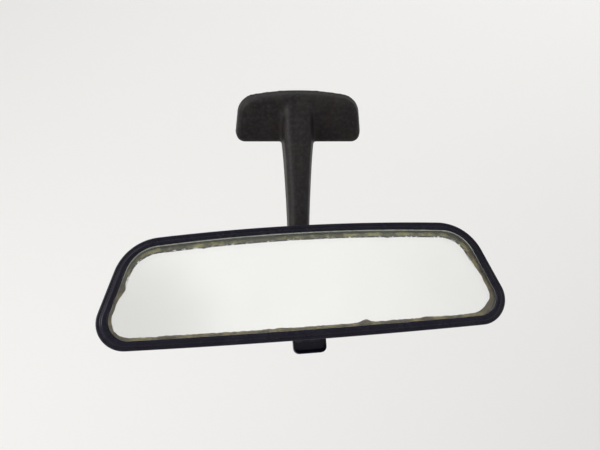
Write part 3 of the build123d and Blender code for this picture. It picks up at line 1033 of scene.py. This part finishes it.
@dataclass
class Head:
    """Case, bezel, glass, silver and sealant of the mirror head."""

    z_face: float = 22.0
    z_lip: float = 20.8
    z_ledge: float = 13.0
    z_back: float = -6.0
    wall: float = 2.2
    draft: float = math.tan(math.radians(5.0))
    back_round: float = 11.0
    glass_front: float = 20.6
    glass_mid: float = 16.2
    slope: float = 2.4 / 58.5
    groove: float = 1.8
    lining: float = 3.8
    lining_round: float = 8.0
    socket_r: float = 12.8
    blemishes: tuple[tuple[float, float, float, float], ...] = (
        (-106.0, 8.0, 15.0, -1.1),
        (-106.0, 4.2, 2.4, 2.0),
        (-107.4, 0.6, 3.0, 1.3),
        (33.6, -26.0, 3.0, 1.7),
        (108.5, -24.5, 6.0, 0.9),
        (-58.5, 28.5, 2.0, 0.5),
        (52.0, 29.0, 1.6, 0.5),
        (-20.0, -27.0, 5.0, 0.3),
        (70.0, -27.0, 4.0, 0.4),
    )

    def housing(self) -> Obj:
        """The case: outer skin from the lip round the back, inner skin, then its openings."""
        rings = [
            CASE.ring(self.groove, self.z_ledge),
            CASE.ring(self.groove, self.z_lip - 0.5),
            CASE.ring(self.groove, self.z_lip - 0.06),
            CASE.ring(1.7, self.z_lip),
            CASE.ring(1.0, self.z_lip),
            CASE.ring(0.56, self.z_lip - 0.14),
            CASE.ring(0.26, self.z_lip - 0.4),
            CASE.ring(0.12, self.z_lip - 0.8),
        ]
        start = self.z_back + self.back_round
        for i in range(1, 7):
            z = self.z_lip - 0.8 + (start - self.z_lip + 0.8) * i / 6
            rings.append(CASE.ring((self.z_lip - z) * self.draft + 0.06, z))
        base = (self.z_lip - start) * self.draft + 0.06
        for across, along in quarter(12):
            rings.append(CASE.ring(base + self.back_round * across * 1.02, start - self.back_round * along))
        rings.append(CASE.ring(15.0, self.z_back))
        shell = loft(rings, Side.END)
        under = self.z_ledge - 1.5
        inner = [CASE.ring(self.groove, self.z_ledge), CASE.ring(7.0, self.z_ledge)]
        inner += [CASE.ring(7.0, under), CASE.ring(3.2, under)]
        floor = self.z_back + self.wall
        for across, along in [(0.0, 0.0)] + quarter(8):
            z = floor + self.lining_round - self.lining_round * along
            inner.append(CASE.ring(self.lining + self.lining_round * across, z))
        lining = loft(inner, Side.END)
        case = join([shell, lining])
        recalculate(case)
        socket_hole = loft(round_bar([(self.z_back - 2, self.socket_r), (floor + 2, self.socket_r)], 72))
        cut(case, socket_hole)
        slot = rounded_block((20.6, 12.0, 10.5), (2.0, -33.5, 6.25), 0.6, 2)
        cut(case, slot)
        settle(case, "case_shell", HEAD)
        smooth(case, 30)
        dress(case, CASE_PLASTIC)
        return place_piece(case, "case", "case_plastic", "housing")

    def bezel(self) -> Obj:
        """Bezel ring: outer wall in the groove, rounded bead, lip over the glass."""
        outer, inner = CASE.ring(1.86, 0.0), OPENING.ring(0.0, 0.0)

        def bead(share: float) -> list[Vector]:
            """One ring of the bead, between the case's groove and the opening."""
            if share < 0.4:
                t = share / 0.4
                height = self.z_lip - 0.05 + (self.z_face - self.z_lip + 0.05) * t * t * (3 - 2 * t)
            else:
                t = (share - 0.4) / 0.6
                lip = self.glass_front + 0.1
                height = lip + (self.z_face - lip) * (1 - t**2.6) ** 0.55
            return [o.lerp(i, share) + Vector((0, 0, height)) for o, i in zip(outer, inner)]

        rings = [CASE.ring(2.1, self.z_ledge), CASE.ring(1.9, self.z_lip - 1.2)]
        rings += [bead(0.5 - 0.5 * math.cos(math.pi * i / 16)) for i in range(17)]
        rings += [
            OPENING.ring(0.0, self.glass_front + 0.05),
            OPENING.ring(-0.95, self.glass_front + 0.05),
            OPENING.ring(-0.95, self.z_ledge),
            CASE.ring(2.1, self.z_ledge),
        ]
        ring = loft(rings, Side.NEITHER)
        recalculate(ring)
        settle(ring, "bezel_ring", HEAD)
        smooth(ring, 40)
        dress(ring, BEZEL_PLASTIC)
        return place_piece(ring, "case", "bezel_plastic", "bezel")

    def behind(self, point: Vector, back: float = 0.0) -> float:
        """Height of the glass's back at a point, less a depth behind it."""
        return self.glass_mid - self.slope * point.y - back

    def glass(self) -> Obj:
        """Prism glass: thick above, thin below, with ground edges."""
        rings = [
            OPENING.ring(0.62, self.glass_front),
            OPENING.ring(-0.05, self.glass_front - 0.36),
            OPENING.ring(-0.72, self.glass_front - 0.7),
            OPENING.ring(-0.82, self.glass_front - 0.9),
            OPENING.ring(-0.82, lambda p: self.behind(p) + 0.25),
            OPENING.ring(-0.6, self.behind),
        ]
        glass = loft(rings)
        recalculate(glass)
        settle(glass, "prism_glass", HEAD)
        smooth(glass, 12)
        dress(glass, ClearGlass())
        return place_piece(glass, "case", "prism_glass", "glass")

    def ground_edge_highlight(self) -> Obj:
        """The glass's ground corner: a frosted strip just inside the bezel, widest above, partly the real
        frosted edge and partly a painted highlight for the bright line along the glass edge.
        """
        def wide(point: Vector) -> float:
            """Width of the strip at a point: wider above, so the painted highlight is strongest there."""
            return 0.05 + 0.45 * ramp(point.y, 3.0, 17.0)

        rings = [
            OPENING.ring(-0.2, self.glass_front - 0.42),
            OPENING.ring(-0.2, self.glass_front - 0.2),
            OPENING.ring(0.0, self.glass_front, wide),
            OPENING.ring(0.04, self.glass_front - 0.02, wide),
            OPENING.ring(0.02, self.glass_front - 0.3),
        ]
        rings.append(rings[0])
        strip = loft(rings, Side.NEITHER)
        recalculate(strip)
        settle(strip, "ground_corner_highlight", HEAD)
        smooth(strip, 50)
        dress(strip, FROSTED_HIGHLIGHT)
        return place_piece(strip, "case", "prism_glass")

    def torn(self, point: Vector) -> float:
        """How far the silver has gone at a point of the edge, in millimetres."""
        wave = noise.noise(Vector((point.x * 0.07, point.y * 0.07, 3.1)))
        fine = noise.noise(Vector((point.x * 0.45, point.y * 0.45, 9.7)))
        tiny = noise.noise(Vector((point.x * 1.4, point.y * 1.4, 5.2)))
        rough = 0.22 if point.y > 8 else 1.0
        loss = rough * (0.3 * wave + 0.42 * fine + 0.28 * tiny)
        for x, y, reach, depth in self.blemishes:
            loss += depth * falloff(math.hypot(point.x - x, point.y - y), reach)
        return loss

    def margin(self, point: Vector) -> float:
        """Width of the bare band at a point before tearing: widest above, narrowest low at the left."""
        up = ramp(point.y, -6.0, 14.0)
        up = up * up * (3 - 2 * up)
        corner = falloff(math.hypot(point.x - 113.5, point.y + 21.0), 10.0)
        return 1.9 + 1.2 * up + 1.6 * corner

    def silver(self) -> Obj:
        """Silver coat behind the glass, with its edge eaten away and blackened above."""
        def edge(point: Vector) -> float:
            """How far in the silver begins at a point."""
            return self.margin(point) + self.torn(point)

        def black(share: float) -> list[float]:
            """How blackened one ring is at each of its points."""
            return [share * ramp(p.y, 6.0, 14.0) for p, _ in SILVER_EDGE.points()]

        rings = [
            SILVER_EDGE.ring(6.0, lambda p: self.behind(p, 0.05)),
            SILVER_EDGE.ring(0.95, lambda p: self.behind(p, 0.05), edge),
            SILVER_EDGE.ring(0.75, lambda p: self.behind(p, 0.05), edge),
            SILVER_EDGE.ring(0.0, lambda p: self.behind(p, 0.05), edge),
            SILVER_EDGE.ring(0.0, lambda p: self.behind(p, 0.3), edge),
        ]
        sheet = loft(rings, Side.BOTH, [black(v) for v in (0.0, 0.0, 1.0, 1.0, 1.0)])
        recalculate(sheet, 0.0001)
        settle(sheet, "silver_sheet", HEAD)
        dress(sheet, Silver())
        return place_piece(sheet, "case", "silver_coat", "silver")

    def sealant(self) -> Obj:
        """Sealant ring between the glass's back and the ledge, reaching in behind the silver's edge."""
        def across(share: float) -> list[Vector]:
            """One ring of the band, at a share of the way in to the silver's edge."""
            back = 0.02 + 0.33 * min(1.0, share)
            return OPENING.ring(
                -0.4,
                lambda p: self.behind(p, back),
                lambda p: share * (self.margin(p) + 0.4),
            )

        shares = (0.0, 0.15, 0.3, 0.45, 0.6, 0.75, 0.9, 1.0, 1.3, 2.2)
        rings = [OPENING.ring(-0.5, self.z_ledge)] + [across(v) for v in shares]
        rings += [
            OPENING.ring(8.5, lambda p: self.behind(p, 0.75)),
            OPENING.ring(2.5, lambda p: self.behind(p, 0.9)),
            OPENING.ring(2.0, self.z_ledge),
            OPENING.ring(-0.5, self.z_ledge),
        ]
        levels = (0.0, *shares, 2.2, 2.2, 2.2, 2.2)
        ring = loft(rings, Side.NEITHER, [[v] * len(rings[0]) for v in levels])
        recalculate(ring)
        settle(ring, "sealant_ring", HEAD)
        smooth(ring, 40)
        dress(ring, AgedSealant())
        return place_piece(ring, "case", "aged_sealant", "sealant_bead")


@dataclass
class DipLever:
    """Finger tab under the head, its hub and its nose."""

    pivot_y: float = -24.5
    pivot_z: float = 3.5
    low: float = -39.9
    high: float = -30.8
    half: float = 9.9
    across: float = 2.0
    thick: float = 3.6

    def tab(self) -> Obj:
        """The tab: a stretched cube, corners bevelled, its front inset and pushed in to make the scoop."""
        size = (2 * self.half, self.high - self.low, self.thick)
        tab = block(size, (self.across, (self.low + self.high) / 2, self.pivot_z))
        bpy.context.tool_settings.mesh_select_mode = (False, True, False)
        pick(tab, "edges", lambda e: abs(e.verts[0].co.z - e.verts[1].co.z) > 1 and e.verts[0].co.y < -36)
        bpy.ops.mesh.bevel(offset=3.6, segments=10, affect="EDGES")
        bpy.context.tool_settings.mesh_select_mode = (False, False, True)
        pick(tab, "faces", lambda f: f.normal.z > 0.9)
        bpy.ops.mesh.inset(thickness=0.8)
        bpy.ops.mesh.inset(thickness=0.6)
        bpy.ops.transform.resize(value=(1.0, 0.35, 1.0), center_override=(self.across, -37.4, self.pivot_z))
        bpy.ops.transform.translate(value=(0, 0, -1.5))
        bpy.ops.object.mode_set(mode="OBJECT")
        modify(tab, "BEVEL", width=0.35, segments=3, limit_method="ANGLE", angle_limit=math.radians(40))
        apply_modifiers(tab)
        return tab

    def build(self) -> Obj:
        """Tab, web, hub and nose in one piece."""
        web = rounded_block((16.0, 9.0, 3.0), (0, self.pivot_y - 4.2, self.pivot_z), 0.5, 2)
        hub = loft(round_bar([(-9.0, 2.6), (-8.7, 2.9), (8.7, 2.9), (9.0, 2.6)], 40))
        hub.rotation_euler = (0, math.radians(90), 0)
        hub.location = (0, self.pivot_y, self.pivot_z)
        nose = rounded_block((10.0, 4.9, 2.2), (0, 0, 0), 0.9, 4)
        lean = math.radians(17.0)
        nose.rotation_euler = (lean, 0, 0)
        nose.location = (0, self.pivot_y + 3.35 * math.cos(lean), self.pivot_z + 3.35 * math.sin(lean))
        for part in (hub, nose):
            bake_place(part)
        lever = join([self.tab(), web, hub, nose])
        settle(lever, "dip_lever_tab", HEAD)
        smooth(lever, 35)
        dress(lever, LEVER_PLASTIC)
        return place_piece(lever, "lever", "lever_plastic", "dip_lever")


@dataclass
class Hardware:
    """CAD nodes whose shape is right: they only get their finishes."""

    finishes: dict[str, object] = field(default_factory=lambda: {
        "roof_plate": ZINC,
        "clip_spring": SPRING,
        "clip_rivets": PIN,
        "foot_gasket": RUBBER,
        "liner_rear": NYLON,
        "liner_front": NYLON,
        "carrier": CARRIER_PLASTIC,
        "socket_clamp": CLAMP_METAL,
        "clamp_screws": ZINC,
        "clamp_springs": SPRING,
        "foam_pads": FOAM,
        "dip_pin": PIN,
        "lever_pin": PIN,
        "lever_spring": SPRING,
    })

    def build(self) -> None:
        """Assign each node its material."""
        made: dict[str, Material] = {}
        for node, finish in self.finishes.items():
            if finish.name not in made:
                made[finish.name] = finish.material()
            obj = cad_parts[node]
            if not obj.material_slots:
                obj.data.materials.append(made[finish.name])
            for slot in obj.material_slots:
                slot.material = made[finish.name]
            log.info("node %s gets %s", node, finish.name)


# ---------------------------------------------------------------- staging

@dataclass
class Stage:
    """Pale floor and sweep, soft lights and the camera."""

    camera_at: Triple = (-0.0171, -0.5618, -0.1757)
    azimuth: float = 1.815
    elevation: float = -10.34
    roll: float = -0.51
    lens: float = 54.0
    floor_z: float = -0.42
    bend_y: float = 1.2
    bend_r: float = 0.9

    def sweep(self) -> None:
        """Floor that curves up into a far wall, with painted shading in its colour: darker towards the lower
        right and upper left, lighter towards the lower left and upper right, and glowing by emission.
        """
        profile = [(-2.5, 0.0), (self.bend_y, 0.0)]
        for across, along in quarter(12):
            profile.append((self.bend_y + self.bend_r * along, self.bend_r * across))
        profile.append((self.bend_y + self.bend_r, 3.2))
        deselect()
        bpy.ops.mesh.primitive_plane_add(size=1.0)
        floor = bpy.context.object
        bpy.ops.object.mode_set(mode="EDIT")
        bpy.ops.mesh.select_all(action="SELECT")
        bpy.ops.mesh.delete(type="ONLY_FACE")
        mesh = bmesh.from_edit_mesh(floor.data)
        mesh.clear()
        left = [mesh.verts.new((-4, y, self.floor_z + z)) for y, z in profile]
        right = [mesh.verts.new((4, y, self.floor_z + z)) for y, z in profile]
        for i in range(len(profile) - 1):
            mesh.faces.new((left[i], right[i], right[i + 1], left[i + 1]))
        bmesh.update_edit_mesh(floor.data)
        bpy.ops.object.mode_set(mode="OBJECT")
        floor.name = "pale_sweep"
        take(floor)
        bpy.ops.object.shade_smooth()
        material, tree, shader, where = blank("pale_sweep")
        # Painted shading: the colour is graded across the sweep in place of uneven light falling on it.
        at = axes(tree, where)
        aside = times(tree, at["X"], -0.018)
        height = math_node(tree, "SUBTRACT", at["Z"], 0.3)
        cross = times(tree, at["X"], times(tree, height, 0.119))
        rise = times(tree, height, 0.03)
        level = plus(tree, plus(tree, plus(tree, aside, cross), rise), 0.897, clamp=True)
        wire(tree, (mix_colour(tree, level, (0, 0, 0), (0.6, 0.596, 0.592)), shader.inputs["Base Color"]))
        shader.inputs["Roughness"].default_value = 0.9
        wire(tree, (mix_colour(tree, level, (0, 0, 0), (0.98, 0.973, 0.96)), shader.inputs["Emission Color"]))
        shader.inputs["Emission Strength"].default_value = 0.335
        floor.data.materials.append(material)

    def world(self) -> None:
        """A pale surround, a little darker from below."""
        world = bpy.data.worlds.new("surround")
        bpy.context.scene.world = world
        world.use_nodes = True
        tree = world.node_tree
        background = next(n for n in tree.nodes if n.type == "BACKGROUND")
        where = tree.nodes.new("ShaderNodeTexCoord")
        at = axes(tree, where.outputs["Generated"])
        up = remap(tree, at["Z"], -0.5, 0.02)
        colour = mix_colour(tree, up, (0.4, 0.4, 0.395), (0.93, 0.927, 0.914))
        near = tree.nodes.new("ShaderNodeVectorMath")
        near.operation = "DOT_PRODUCT"
        near.inputs[1].default_value = Vector((0.05, -0.985, 0.15)).normalized()
        tree.links.new(where.outputs["Generated"], near.inputs[0])
        shade = remap(tree, near.outputs["Value"], 0.985, 0.9995)
        colour = mix_colour(tree, shade, colour, (0.73, 0.727, 0.712))
        right = remap(tree, at["X"], 0.28, 0.55)
        colour = mix_colour(tree, right, colour, (0.8, 0.797, 0.785))
        tree.links.new(colour, background.inputs["Color"])
        background.inputs["Strength"].default_value = 1.0

    def light(self, name: str, at: Triple, size: float, power: float, colour: Triple) -> None:
        """One soft square light aimed at the object."""
        deselect()
        bpy.ops.object.light_add(type="AREA", location=at)
        lamp = bpy.context.object
        lamp.name = name
        lamp.data.size = size
        lamp.data.energy = power
        lamp.data.color = colour
        aim = Vector((0, -0.03, -0.08)) - Vector(at)
        lamp.rotation_euler = aim.to_track_quat("-Z", "Y").to_euler()

    def camera(self) -> None:
        """The camera, a little left of square and looking up at the object."""
        az, el, roll = (math.radians(v) for v in (self.azimuth, self.elevation, self.roll))
        ahead = Vector((math.sin(az) * math.cos(el), math.cos(az) * math.cos(el), -math.sin(el)))
        right = Vector((math.cos(az), -math.sin(az), 0.0))
        up = right.cross(ahead)
        right, up = right * math.cos(roll) + up * math.sin(roll), up * math.cos(roll) - right * math.sin(roll)
        data = bpy.data.cameras.new("view")
        data.lens = self.lens
        data.sensor_width = 36.0
        camera = bpy.data.objects.new("view", data)
        bpy.context.collection.objects.link(camera)
        turn = Matrix((right, up, -ahead)).transposed().to_4x4()
        camera.matrix_world = Matrix.Translation(self.camera_at) @ turn
        bpy.context.scene.camera = camera

    def build(self) -> None:
        """Stage everything."""
        bpy.context.scene.view_settings.view_transform = "Standard"
        bpy.context.scene.view_settings.look = "None"
        self.sweep()
        self.world()
        self.light("key_upper_left", (-0.9, -0.8, 1.1), 0.8, 9.0, (1.0, 0.99, 0.97))
        self.light("window_left", (-1.0, -0.72, 0.08), 0.5, 8.0, (1.0, 0.99, 0.97))
        self.light("table_bounce", (-0.75, -0.6, -0.75), 0.4, 3.5, (1.0, 0.99, 0.97))
        self.light("fill_right", (1.2, -0.7, -0.2), 0.5, 2.5, (0.97, 0.98, 1.0))
        self.camera()


def main() -> None:
    """Build every sub-assembly in order."""
    stem = Stem()
    stem.build()
    stem.stud()
    head = Head()
    for make in (head.housing, head.bezel, head.glass, head.ground_edge_highlight, head.silver, head.sealant):
        make()
    DipLever().build()
    Hardware().build()
    Stage().build()
    deselect()


if __name__ == "__main__":
    main()
